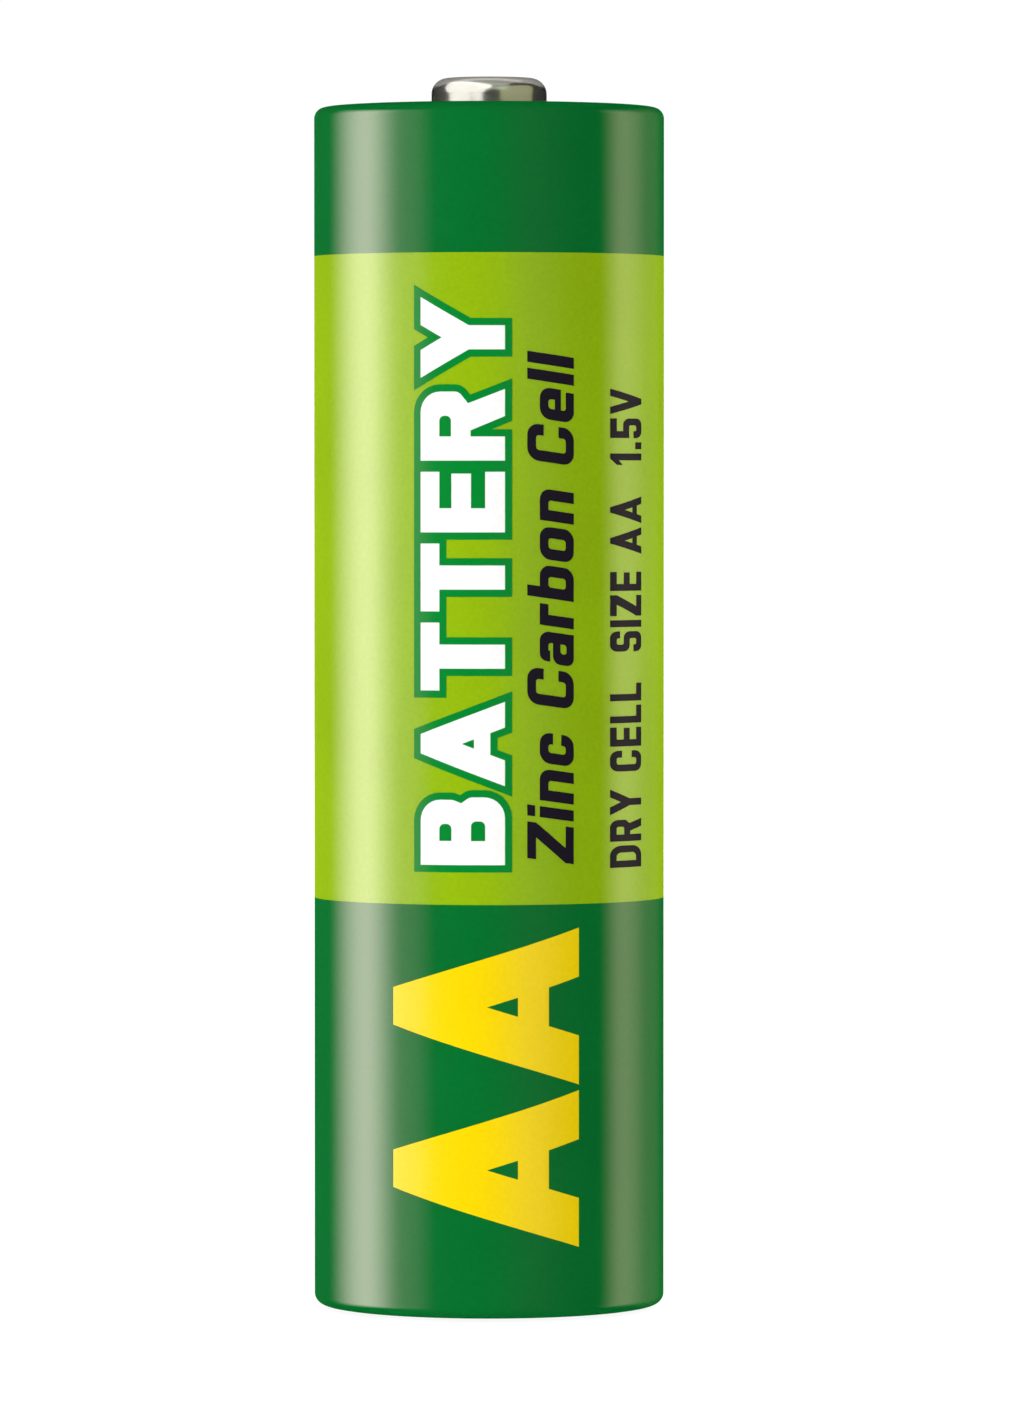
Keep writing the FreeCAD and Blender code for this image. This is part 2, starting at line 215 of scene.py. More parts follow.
def bare_tin(tree, height, radius):
    """1 where the tin isn't printed: at the lips' cut edges and on the sheet's back."""
    lip = math_node(tree, "LESS_THAN", radius, LIP_MARGIN_R)
    inside = math_node(tree, "LESS_THAN", radius, JACKET_R - SHEET / 2)
    off_middle = math_node(tree, "ABSOLUTE", math_node(tree, "SUBTRACT", height, JACKET_MIDDLE))
    straight = math_node(tree, "LESS_THAN", off_middle, JACKET_TOP - JACKET_MIDDLE - SHOULDER_BEND)
    back_of_sheet = math_node(tree, "MULTIPLY", inside, straight)
    return math_node(tree, "MAXIMUM", lip, back_of_sheet)


def printed_tinplate():
    """Tin with a lime band between two dark green ones, under varnish."""
    material, tree, shader, position = new_material("printed_tinplate", **VARNISH)
    height = part_of(tree, position, "Z")
    above = math_node(tree, "GREATER_THAN", height, LOWER_BAND_TOP)
    below = math_node(tree, "LESS_THAN", height, UPPER_BAND_BOTTOM)
    lime_band = math_node(tree, "MULTIPLY", above, below)
    colour = uneven(tree, position, mixed(tree, lime_band, DARK_GREEN, LIME))
    bare = bare_tin(tree, height, radius_of(tree, position))
    tree.links.new(mixed(tree, bare, colour, TIN), shader.inputs["Base Color"])
    tree.links.new(bare, shader.inputs["Metallic"])
    varnish(tree, shader, position)
    return material


def ink(name, colour, gloss=1.0):
    """Printed ink under the same varnish as the jacket's."""
    material, tree, shader, position = new_material(name, **VARNISH)
    tree.links.new(uneven(tree, position, colour, least=0.96), shader.inputs["Base Color"])
    varnish(tree, shader, position, gloss)
    return material


def plated_steel():
    """Nickel plate on drawn steel: fine rings from the forming, and small handling marks."""
    material, tree, shader, position = new_material(
        "plated_steel", Metallic=0.93, Specular_Tint=(0.5, 0.49, 0.48, 1.0))
    along = {"X": radius_of(tree, position), "Z": part_of(tree, position, "Z")}
    rings = node(tree, "CombineXYZ", along).outputs["Vector"]
    drawn = noise(tree, rings, size=0.09 * MM, detail=3.0)
    soft = noise(tree, position, size=1.4 * MM, detail=3.0)
    warm = mixed(tree, ranged(tree, soft, 0.0, 1.0), (0.72, 0.7, 0.64, 1.0), (0.62, 0.59, 0.52, 1.0))
    tree.links.new(warm, shader.inputs["Base Color"])
    scuffs = noise(tree, position, size=0.3 * MM, detail=4.0, stretch=(1, 3, 1), distortion=1.5)
    marks = ranged(tree, scuffs, 0.0, 0.05, start=0.55, end=0.75)
    worn = math_node(tree, "ADD", ranged(tree, soft, 0.17, 0.22), marks)
    tree.links.new(worn, shader.inputs["Roughness"])
    bumped(tree, shader, drawn, 0.0008 * MM)
    return material


def fibrous(name, light, dark, fibre, along=(1, 1, 0.25)):
    """Paper or board: long fibres along the stretched axis, over soft patches."""
    material, tree, shader, position = new_material(name)
    strands = noise(tree, position, size=fibre, detail=5.0, roughness=0.65, stretch=along, distortion=0.6)
    patches = noise(tree, position, size=12 * fibre, detail=2.0)
    base = mixed(tree, ranged(tree, strands, 0.0, 0.8), light, dark)
    base = mixed(tree, ranged(tree, patches, 0.0, 0.25), base, dark)
    tree.links.new(base, shader.inputs["Base Color"])
    tree.links.new(ranged(tree, strands, 0.78, 0.95), shader.inputs["Roughness"])
    bumped(tree, shader, strands, 0.01 * MM)
    return material


def shrink_film():
    """Milky PVC film, with faint flow lines from shrinking."""
    material, tree, shader, position = new_material(
        "shrink_film", IOR=1.53, Transmission_Weight=0.25, Specular_IOR_Level=0.5)
    lines = noise(tree, position, size=0.5 * MM, detail=2.0, stretch=(1, 1, 0.1))
    base = mixed(tree, ranged(tree, lines, 0.0, 1.0), (0.82, 0.84, 0.83, 1.0), (0.7, 0.73, 0.72, 1.0))
    tree.links.new(base, shader.inputs["Base Color"])
    tree.links.new(ranged(tree, lines, 0.2, 0.34), shader.inputs["Roughness"])
    bumped(tree, shader, lines, 0.006 * MM)
    return material


def zinc():
    """Drawn zinc: dull blue-grey with crystal patches and drawing lines up the wall."""
    material, tree, shader, position = new_material("zinc", Metallic=1.0)
    crystals = node(tree, "TexVoronoi", {"Vector": position, "Scale": 1 / (0.8 * MM)}, feature="F1")
    split = node(tree, "SeparateColor", {"Color": crystals.outputs["Color"]})
    lines = noise(tree, position, size=0.15 * MM, detail=3.0, stretch=(1, 1, 0.08))
    facet = ranged(tree, split.outputs[0], 0.0, 0.6, start=0.0, end=1.0)
    base = mixed(tree, facet, (0.4, 0.43, 0.46, 1.0), (0.52, 0.55, 0.58, 1.0))
    base = mixed(tree, ranged(tree, lines, 0.0, 0.4), base, (0.3, 0.32, 0.34, 1.0))
    tree.links.new(base, shader.inputs["Base Color"])
    tree.links.new(ranged(tree, split.outputs[1], 0.35, 0.55, start=0.0, end=1.0), shader.inputs["Roughness"])
    bumped(tree, shader, lines, 0.004 * MM)
    return material


def closure_plastic():
    """Natural polyethylene: waxy, off-white, with a fine moulded grain."""
    material, tree, shader, position = new_material(
        "closure_plastic", Subsurface_Weight=0.2, Subsurface_Radius=(0.6 * MM, 0.5 * MM, 0.4 * MM))
    cloud = noise(tree, position, size=1.8 * MM, detail=3.0)
    grain = noise(tree, position, size=0.1 * MM, detail=2.0)
    base = mixed(tree, ranged(tree, cloud, 0.0, 1.0), (0.82, 0.81, 0.76, 1.0), (0.73, 0.72, 0.66, 1.0))
    tree.links.new(base, shader.inputs["Base Color"])
    tree.links.new(ranged(tree, grain, 0.38, 0.52), shader.inputs["Roughness"])
    bumped(tree, shader, grain, 0.004 * MM)
    return material


def bitumen():
    """Poured bitumen: black and glossy, with soft ripples and a few bubbles."""
    material, tree, shader, position = new_material("bitumen", Specular_IOR_Level=0.6)
    ripples = noise(tree, position, size=0.9 * MM, detail=2.0, distortion=0.8)
    bubbles = node(tree, "TexVoronoi", {"Vector": position, "Scale": 1 / (0.7 * MM)}, feature="F1")
    pits = ranged(tree, bubbles.outputs["Distance"], 0.0, 1.0, start=0.05, end=0.16)
    black, brown = (0.008, 0.007, 0.007, 1.0), (0.022, 0.019, 0.016, 1.0)
    base = mixed(tree, ranged(tree, ripples, 0.0, 1.0), black, brown)
    tree.links.new(base, shader.inputs["Base Color"])
    tree.links.new(ranged(tree, ripples, 0.1, 0.28), shader.inputs["Roughness"])
    bumped(tree, shader, math_node(tree, "ADD", pits, ripples), 0.05 * MM)
    return material


def carbon():
    """Extruded carbon: dark grey with a graphite sheen and lengthwise grain."""
    material, tree, shader, position = new_material("carbon", Metallic=0.25)
    grain = noise(tree, position, size=0.12 * MM, detail=4.0, stretch=(1, 1, 0.06))
    base = mixed(tree, ranged(tree, grain, 0.0, 1.0), (0.022, 0.022, 0.024, 1.0), (0.06, 0.06, 0.064, 1.0))
    tree.links.new(base, shader.inputs["Base Color"])
    tree.links.new(ranged(tree, grain, 0.38, 0.6), shader.inputs["Roughness"])
    bumped(tree, shader, grain, 0.008 * MM)
    return material


def black_mix():
    """Pressed manganese dioxide and carbon: crumbly, moist, nearly black."""
    material, tree, shader, position = new_material("black_mix")
    crumbs = noise(tree, position, size=0.22 * MM, detail=6.0, roughness=0.7)
    damp = noise(tree, position, size=2.5 * MM, detail=2.0)
    base = mixed(tree, ranged(tree, crumbs, 0.0, 1.0), (0.008, 0.008, 0.008, 1.0), (0.036, 0.034, 0.031, 1.0))
    tree.links.new(base, shader.inputs["Base Color"])
    tree.links.new(ranged(tree, damp, 0.55, 0.95), shader.inputs["Roughness"])
    bumped(tree, shader, crumbs, 0.06 * MM)
    return material


def gel_paste():
    """Starch gel: pale, wet and slightly lumpy."""
    material, tree, shader, position = new_material(
        "gel_paste", Subsurface_Weight=0.3, Subsurface_Radius=(0.4 * MM, 0.4 * MM, 0.3 * MM))
    lumps = noise(tree, position, size=0.4 * MM, detail=3.0)
    base = mixed(tree, ranged(tree, lumps, 0.0, 1.0), (0.72, 0.71, 0.64, 1.0), (0.6, 0.59, 0.5, 1.0))
    tree.links.new(base, shader.inputs["Base Color"])
    tree.links.new(ranged(tree, lumps, 0.16, 0.35), shader.inputs["Roughness"])
    bumped(tree, shader, lumps, 0.02 * MM)
    return material


def give(material, *names):
    """Puts one material on these CAD nodes."""
    for name in names:
        slots = NODES[name].data.materials
        slots.clear()
        slots.append(material)


give(printed_tinplate(), "outer_jacket")
give(plated_steel(), "positive_cap", "negative_plate")
board = fibrous("insulating_board", light=(0.05, 0.045, 0.04, 1.0), dark=(0.02, 0.018, 0.017, 1.0),
                fibre=0.14 * MM, along=(1, 1, 1))
give(board, "top_insulating_ring", "bottom_insulating_ring")
kraft = fibrous("kraft_paper", light=(0.45, 0.29, 0.15, 1.0), dark=(0.3, 0.17, 0.08, 1.0), fibre=0.2 * MM)
give(kraft, "paper_tube")
give(shrink_film(), "shrink_sleeve")
give(zinc(), "zinc_can")
give(closure_plastic(), "sealing_closure")
give(bitumen(), "bitumen_seal")
give(carbon(), "carbon_rod")
give(black_mix(), "cathode_mix")
liner = fibrous("separator_paper", light=(0.7, 0.62, 0.48, 1.0), dark=(0.52, 0.43, 0.3, 1.0), fibre=0.16 * MM)
give(liner, "separator_liner")
give(gel_paste(), "separator_paste")
grey = fibrous("grey_board", light=(0.38, 0.34, 0.28, 1.0), dark=(0.24, 0.21, 0.17, 1.0),
               fibre=0.18 * MM, along=(1, 1, 1))
give(grey, "top_paper_washer", "bottom_paper_cup")


# ---- lettering: a plain squared face of its own, one cap high ------------------------------------
# Each letter takes its width and stem, in cap heights, and gives its outlines as (x, y, bend radius)
# corners: the outer one first and then its holes, all of them anticlockwise.
BAR = 0.82                             # a level stroke's thickness over a stem's
WAIST = 0.51                           # the height of a capital's middle bar
SMALL = 0.74                           # the height of small letters
BOWL = 0.24                            # the bend outside a capital's bowl
SMALL_BOWL = 0.22
BEND = 0.06                            # the bend inside a bowl


def block(left, low, right, high, bend=0):
    return [(left, low, bend), (right, low, bend), (right, high, bend), (left, high, bend)]


def letter_a(w, s):
    flat, low = 0.8 * s, 0.17
    run = (w - flat) / 2
    leg = s * math.hypot(run, 1)
    high = low + 0.68 * s
    outer = [(0, 0, 0), (leg, 0, 0), (leg + run * low, low, 0), (w - leg - run * low, low, 0),
             (w - leg, 0, 0), (w, 0, 0), (w - run, 1, 0), (run, 1, 0)]
    hole = [(leg + run * high, high, 0), (w - leg - run * high, high, 0), (w / 2, (w / 2 - leg) / run, 0)]
    return [outer, hole]


def letter_b(w, s):
    t, nip, shallow = BAR * s, 0.07, 0.1
    top_w = w - 0.03
    outer = [(0, 0, 0), (w, 0, BOWL), (w, WAIST - shallow, 0.12), (w - nip, WAIST, 0),
             (top_w, WAIST + shallow, 0.12), (top_w, 1, BOWL), (0, 1, 0)]
    low, high = WAIST - t / 2, WAIST + t / 2
    return [outer, [(s, t, 0), (w - s, t, BEND), (w - s, low, BEND), (s, low, 0)],
            [(s, high, 0), (top_w - s, high, BEND), (top_w - s, 1 - t, BEND), (s, 1 - t, 0)]]


def letter_c(w, s):
    t, low, high = BAR * s, 0.34, 0.66
    return [[(0, 0, BOWL), (w, 0, BOWL), (w, low, 0), (w - s, low, 0), (w - s, t, BEND), (s, t, BEND),
             (s, 1 - t, BEND), (w - s, 1 - t, BEND), (w - s, high, 0), (w, high, 0), (w, 1, BOWL),
             (0, 1, BOWL)]]


def letter_d(w, s):
    t = BAR * s
    return [[(0, 0, 0), (w, 0, 0.32), (w, 1, 0.32), (0, 1, 0)],
            [(s, t, 0), (w - s, t, 0.14), (w - s, 1 - t, 0.14), (s, 1 - t, 0)]]


def letter_e(w, s):
    t, arm = BAR * s, 0.97 * w
    low, high = WAIST - t / 2, WAIST + t / 2
    return [[(0, 0, 0), (w, 0, 0), (w, t, 0), (s, t, 0), (s, low, 0), (arm, low, 0), (arm, high, 0),
             (s, high, 0), (s, 1 - t, 0), (w, 1 - t, 0), (w, 1, 0), (0, 1, 0)]]


def letter_i(w, s):
    return [block(0, 0, s, 1)]


def letter_l(w, s):
    return [[(0, 0, 0), (w, 0, 0), (w, BAR * s, 0), (s, BAR * s, 0), (s, 1, 0), (0, 1, 0)]]


def letter_r(w, s):
    t, foot, run = BAR * s, 0.4, 0.2 * w
    leg, bowl_w = 1.12 * s, w - 0.03
    outer = [(0, 0, 0), (s, 0, 0), (s, foot, 0), (w - leg - run, foot, 0), (w - leg, 0, 0), (w, 0, 0),
             (w - run, foot + 0.03, 0), (bowl_w, foot + 0.14, 0.1), (bowl_w, 1, BOWL), (0, 1, 0)]
    low = foot + t
    return [outer, [(s, low, 0), (bowl_w - s, low, BEND), (bowl_w - s, 1 - t, BEND), (s, 1 - t, 0)]]


def letter_s(w, s):
    t = BAR * s
    low, high = WAIST - t / 2, WAIST + t / 2
    cut, bowl = t + 0.1, 0.2
    return [[(0, 0, bowl), (w, 0, bowl), (w, high, bowl), (s, high, BEND), (s, 1 - t, BEND),
             (w - s, 1 - t, BEND), (w - s, 1 - cut, 0), (w, 1 - cut, 0), (w, 1, bowl), (0, 1, bowl),
             (0, low, bowl), (w - s, low, BEND), (w - s, t, BEND), (s, t, BEND), (s, cut, 0), (0, cut, 0)]]


def letter_t(w, s):
    t, left, right = BAR * s, (w - s) / 2, (w + s) / 2
    return [[(left, 0, 0), (right, 0, 0), (right, 1 - t, 0), (w, 1 - t, 0), (w, 1, 0), (0, 1, 0),
             (0, 1 - t, 0), (left, 1 - t, 0)]]


def letter_v(w, s):
    run = (w - 0.8 * s) / 2
    leg = s * math.hypot(run, 1)
    return [[(run, 0, 0), (w - run, 0, 0), (w, 1, 0), (w - leg, 1, 0), (w / 2, 1 - (w / 2 - leg) / run, 0),
             (leg, 1, 0), (0, 1, 0)]]


def letter_y(w, s):
    fork, left, right = 0.42, (w - s) / 2, (w + s) / 2
    arm = s * math.hypot(left / (1 - fork), 1)
    crotch = 1 - (w / 2 - arm) * (1 - fork) / left
    return [[(left, 0, 0), (right, 0, 0), (right, fork, 0), (w, 1, 0), (w - arm, 1, 0), (w / 2, crotch, 0),
             (arm, 1, 0), (0, 1, 0), (left, fork, 0)]]


def letter_z(w, s):
    t, slant = BAR * s, 1.35 * s
    return [[(0, 0, 0), (w, 0, 0), (w, t, 0), (slant, t, 0), (w, 1 - t, 0), (w, 1, 0), (0, 1, 0),
             (0, 1 - t, 0), (w - slant, 1 - t, 0), (0, t, 0)]]


def figure_1(w, s):
    flag_top, flag_bottom, joint = 0.8, 0.64, 0.76
    return [[(w - s, 0, 0), (w, 0, 0), (w, 1, 0), (w - 0.75 * s, 1, 0), (0, flag_top, 0),
             (0, flag_bottom, 0), (w - s, joint, 0)]]


def figure_5(w, s):
    t, upper, bowl = BAR * s, 0.62, 0.2
    cut = t + 0.1
    return [[(0, 0, bowl), (w, 0, bowl), (w, upper, bowl), (s, upper, 0), (s, 1 - t, 0), (w, 1 - t, 0),
             (w, 1, 0), (0, 1, 0), (0, upper - t, 0), (w - s, upper - t, BEND), (w - s, t, BEND),
             (s, t, BEND), (s, cut, 0), (0, cut, 0)]]


def small_a(w, s):
    t, left, rise = BAR * s, 0.04, 0.46
    thin = 0.9 * t
    return [[(0, 0, 0.16), (w, 0, 0), (w, SMALL, 0.2), (left, SMALL, 0.14), (left, SMALL - t - 0.04, 0),
             (left + s, SMALL - t - 0.04, 0), (left + s, SMALL - t, 0), (w - s, SMALL - t, BEND),
             (w - s, rise, 0), (0, rise, 0.16)],
            [(s, thin, BEND), (w - s, thin, BEND), (w - s, rise - thin, 0), (s, rise - thin, BEND)]]


def small_b(w, s):
    t = BAR * s
    return [[(0, 0, 0), (w, 0, SMALL_BOWL), (w, SMALL, SMALL_BOWL), (s, SMALL, 0), (s, 1, 0), (0, 1, 0)],
            block(s, t, w - s, SMALL - t, BEND)]


def small_c(w, s):
    t, low, high = BAR * s, 0.28, SMALL - 0.28
    return [[(0, 0, SMALL_BOWL), (w, 0, SMALL_BOWL), (w, low, 0), (w - s, low, 0), (w - s, t, BEND),
             (s, t, BEND), (s, SMALL - t, BEND), (w - s, SMALL - t, BEND), (w - s, high, 0), (w, high, 0),
             (w, SMALL, SMALL_BOWL), (0, SMALL, SMALL_BOWL)]]


def small_e(w, s):
    t, low, high = BAR * s, 0.29, 0.42
    return [[(0, 0, SMALL_BOWL), (w - 0.04, 0, 0), (w - 0.04, t, 0), (s, t, BEND), (s, low, 0), (w, low, 0),
             (w, SMALL, SMALL_BOWL), (0, SMALL, SMALL_BOWL)],
            [(s, high, 0), (w - s, high, 0), (w - s, SMALL - t, BEND), (s, SMALL - t, BEND)]]


def small_i(w, s):
    dot = 0.84
    return [block(0, 0, s, SMALL), block(0, dot, s, 1)]


def small_n(w, s):
    t = BAR * s
    return [[(0, 0, 0), (s, 0, 0), (s, SMALL - t, 0), (w - s, SMALL - t, BEND), (w - s, 0, 0), (w, 0, 0),
             (w, SMALL, SMALL_BOWL), (0, SMALL, 0)]]


def small_o(w, s):
    t = BAR * s
    return [block(0, 0, w, SMALL, SMALL_BOWL), block(s, t, w - s, SMALL - t, BEND)]


def small_r(w, s):
    t = BAR * s
    return [[(0, 0, 0), (s, 0, 0), (s, SMALL - t, 0), (w, SMALL - t, 0), (w, SMALL, 0), (0, SMALL, 0)]]


def full_stop(w, s):
    return [block(0, 0, s, s)]


def plus_sign(w, s):
    left, right = (w - s) / 2, (w + s) / 2
    low, high, half = 0.5 - s / 2, 0.5 + s / 2, w / 2
    return [[(left, 0.5 - half, 0), (right, 0.5 - half, 0), (right, low, 0), (w, low, 0), (w, high, 0),
             (right, high, 0), (right, 0.5 + half, 0), (left, 0.5 + half, 0), (left, high, 0), (0, high, 0),
             (0, low, 0), (left, low, 0)]]


def minus_sign(w, s):
    """Turned across the line, so that it lies level on a standing cell."""
    low, high = 0.5 - w / 2, 0.5 + w / 2
    return [block(0, low, s, high)]


# each character's drawing and natural width, which is 0 where it is just one stem wide
LETTERS = {
    "A": (letter_a, 0.92), "B": (letter_b, 0.74), "C": (letter_c, 0.72), "D": (letter_d, 0.76),
    "E": (letter_e, 0.66), "I": (letter_i, 0.0), "L": (letter_l, 0.62), "R": (letter_r, 0.78),
    "S": (letter_s, 0.7), "T": (letter_t, 0.74), "V": (letter_v, 0.88), "Y": (letter_y, 0.88),
    "Z": (letter_z, 0.72),
    "a": (small_a, 0.62), "b": (small_b, 0.64), "c": (small_c, 0.6), "e": (small_e, 0.62),
    "i": (small_i, 0.0), "l": (letter_i, 0.0), "n": (small_n, 0.62), "o": (small_o, 0.64),
    "r": (small_r, 0.42), "1": (figure_1, 0.4), "5": (figure_5, 0.68), ".": (full_stop, 0.0),
    "+": (plus_sign, 0.9), "-": (minus_sign, 0.9),
}
SPACE = 0.3                            # beside the usual gap


def rounded(corners, steps=7):
    """The points of an outline of (x, y, bend radius) corners, with each bend as an arc."""
    points = []
    for i, (x, y, radius) in enumerate(corners):
        here = Vector((x, y))
        if not radius:
            points.append(here)
            continue
        before = (Vector(corners[i - 1][:2]) - here).normalized()
        after = (Vector(corners[(i + 1) % len(corners)][:2]) - here).normalized()
        half = before.angle(after) / 2
        centre = here + (before + after).normalized() * (radius / math.sin(half))
        first = here + before * (radius / math.tan(half)) - centre
        last = here + after * (radius / math.tan(half)) - centre
        begin = math.atan2(first.y, first.x)
        sweep = (math.atan2(last.y, last.x) - begin + math.pi) % (2 * math.pi) - math.pi
        for k in range(steps + 1):
            angle = begin + sweep * k / steps
            points.append(centre + Vector((math.cos(angle), math.sin(angle))) * radius)
    return points


def border_patches(points, by):
    """Quads along an outline, and kites at its outer corners, that together reach this far to its right."""
    ahead = points[1:] + points[:1]
    outward = []
    for here, after in zip(points, ahead):
        along = (after - here).normalized()
        outward.append(Vector((along.y, -along.x)) * by)
    patches = []
    for i, (here, after) in enumerate(zip(points, ahead)):
        last, this = outward[i - 1], outward[i]
        patches.append([here, here + this, after + this, after])
        if last.cross(this) > 0:
            tip = (last + this) / (1 + last.dot(this) / by ** 2)
            patches.append([here, here + last, here + tip, here + this])
    return patches


def set_text(text, cap, length, stroke, gap, slant=0.0):
    """The letters of a line, as lists of outlines of corners in metres, spread to fill the length along x."""
    chars = [c for c in text if c != " "]
    natural = sum(LETTERS[c][1] for c in chars)
    fixed = sum(stroke for c in chars if not LETTERS[c][1]) + gap * (len(text) - 1) + SPACE * text.count(" ")
    stretch = (length / cap - slant - fixed) / natural
    x = 0.0
    placed = []
    for char in text:
        if char == " ":
            x += SPACE + gap
            continue
        shape, width = LETTERS[char]
        width = width * stretch if width else stroke
        outlines = shape(width, stroke)
        placed.append([[((x + u) * cap, v * cap, r * cap) for u, v, r in outline] for outline in outlines])
        x += width + gap
    return placed


def points_of(letters, slant=0.0, tall=1.0):
    """The same letters with every bend drawn, then slanted and stretched upwards."""

    def drawn(outline):
        return [Vector((p.x + slant * p.y, p.y * tall)) for p in rounded(outline)]

    return [[drawn(outline) for outline in outlines] for outlines in letters]


def covered(shapes):
    """Splits the plane by every outline. Gives its points and, for each triangle, which shapes cover it."""
    points, faces, owner = [], [], []
    for key, outlines in enumerate(shapes):
        for rank, outline in enumerate(outlines):
            faces.append(list(range(len(points), len(points) + len(outline))))
            owner.append((key, rank))
            points.extend(outline)
    verts, _, tris, _, _, sources = delaunay_2d_cdt(points, [], faces, 0, POINT_MERGE)
    cover = []
    for source in sources:
        inside = {}
        for index in source:
            key, rank = owner[index]
            inside.setdefault(key, set()).add(rank)
        cover.append({key for key, ranks in inside.items() if len(ranks) % 2})
    return verts, tris, cover


def flat_ink(verts, tris):
    """The triangles as one flat mesh, cut across y so that it can be bent round the jacket."""
    flat = bmesh.new()
    corners = [flat.verts.new((p.x, p.y, 0)) for p in verts]
    for tri in tris:
        a, b, c = (verts[i] for i in tri)
        order = tri if (b - a).cross(c - a) > 0 else tri[::-1]
        flat.faces.new([corners[i] for i in order])
    bmesh.ops.delete(flat, geom=[v for v in flat.verts if not v.link_faces], context="VERTS")
    bmesh.ops.dissolve_limit(flat, angle_limit=FLAT_ANGLE, verts=flat.verts[:], edges=flat.edges[:])
    low, high = (pick(v.co.y for v in flat.verts) for pick in (min, max))
    step = INK_STEP * JACKET_R
    for k in range(math.ceil(low / step), math.floor(high / step) + 1):
        everything = flat.verts[:] + flat.edges[:] + flat.faces[:]
        cut = Vector((0, k * step, 0))
        bmesh.ops.bisect_plane(flat, geom=everything, dist=CUT_MERGE, plane_co=cut, plane_no=(0, 1, 0))
    flat.verts.index_update()
    return flat


def wrap_ink(name, verts, tris, slot, azimuth, height):
    """A thin closed layer of ink on the jacket. The plane's x runs up the cell from height, and its y runs
    round to the left from azimuth, which is in radians."""
    flat = flat_ink(verts, tris)
    count = len(flat.verts)
    angles = [azimuth - v.co.y / JACKET_R for v in flat.verts]
    out = [Vector((math.sin(a), -math.cos(a), 0)) for a in angles]
    coords = []
    for radius in (JACKET_R, TIN_R - INK_SUNK):
        coords += [n * radius + Vector((0, 0, height + v.co.x)) for n, v in zip(out, flat.verts)]
    faces, normals = [], []
    for face in flat.faces:
        ring = [v.index for v in face.verts]
        faces.append(ring)
        normals += [out[i] for i in ring]
        faces.append([i + count for i in ring[::-1]])
        normals += [-out[i] for i in ring[::-1]]
    for edge in flat.edges:
        if len(edge.link_faces) != 1:
            continue
        loop = edge.link_loops[0]
        a, b = loop.vert.index, loop.link_loop_next.vert.index
        side = (coords[b] - coords[a]).cross(out[a]).normalized()
        faces.append([b, a, a + count, b + count])
        normals += [side] * 4
    flat.free()

    mesh = bpy.data.meshes.new(name)
    mesh.from_pydata(coords, [], faces)
    mesh.validate()
    mesh.normals_split_custom_set(normals)
    mesh.materials.append(INKS[slot])
    piece = bpy.data.objects.new(name, mesh)
    bpy.context.scene.collection.objects.link(piece)
    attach(piece, "root")


INKS = {
    "print_white": ink("print_white", WHITE),
    "print_green": ink("print_green", OUTLINE_GREEN),
    "print_black": ink("print_black", BLACK, gloss=0.15),
    "print_yellow": ink("print_yellow", YELLOW),
}


def print_line(name, text, cap, length, stroke, gap, slot, azimuth, height, slant=0.0, tall=1.0):
    """One line of lettering, reading up the cell, whose baseline is at this azimuth."""
    letters = set_text(text, cap, length, stroke, gap, slant)
    verts, tris, cover = covered(points_of(letters, slant, tall))
    chosen = [tri for tri, keys in zip(tris, cover) if keys]
    wrap_ink(name, verts, chosen, slot, math.radians(azimuth), height)


def print_outlined_line(name, text, cap, length, stroke, gap, border, azimuth, height):
    """White letters with a green border that runs together between them."""
    letters = points_of(set_text(text, cap, length, stroke, gap))
    borders = []
    for outer, *holes in letters:
        for outline in [outer] + [hole[::-1] for hole in holes]:
            borders += [[patch] for patch in border_patches(outline, border)]
    verts, tris, cover = covered(letters + borders)
    white = [tri for tri, keys in zip(tris, cover) if any(k < len(letters) for k in keys)]
    green = [tri for tri, keys in zip(tris, cover) if keys and all(k >= len(letters) for k in keys)]
    angle = math.radians(azimuth)
    wrap_ink(name, verts, white, "print_white", angle, height)
    wrap_ink(name + "_border", verts, green, "print_green", angle, height)


print_outlined_line("word_front", "BATTERY", cap=3.45 * MM, length=22.75 * MM, stroke=0.28, gap=0.13,
                    border=0.29 * MM, azimuth=5.2, height=18.4 * MM)
print_line("chemistry_line", "Zinc Carbon Cell", cap=2.0 * MM, length=20.6 * MM, stroke=0.22, gap=0.12,
           slot="print_black", azimuth=28.5, height=18.4 * MM, slant=0.14)
print_line("size_line", "DRY CELL  SIZE AA  1.5V", cap=1.25 * MM, length=19.3 * MM, stroke=0.22, gap=0.14,
           slot="print_black", azimuth=59.5, height=18.2 * MM, tall=1.63)
print_line("size_mark", "AA", cap=7.85 * MM, length=12.85 * MM, stroke=0.24, gap=0.03,
           slot="print_yellow", azimuth=30.4, height=3.0 * MM)

# on the back
print_line("plus_mark", "+", cap=3.2 * MM, length=2.9 * MM, stroke=0.26, gap=0.1,
           slot="print_white", azimuth=-127, height=44.4 * MM)
print_line("back_line", "SIZE AA  1.5V", cap=2.4 * MM, length=19.5 * MM, stroke=0.2, gap=0.13,
           slot="print_black", azimuth=-130, height=20.2 * MM)
print_line("minus_mark", "-", cap=3.2 * MM, length=2.9 * MM, stroke=0.26, gap=0.1,
           slot="print_white", azimuth=-127, height=4.0 * MM)


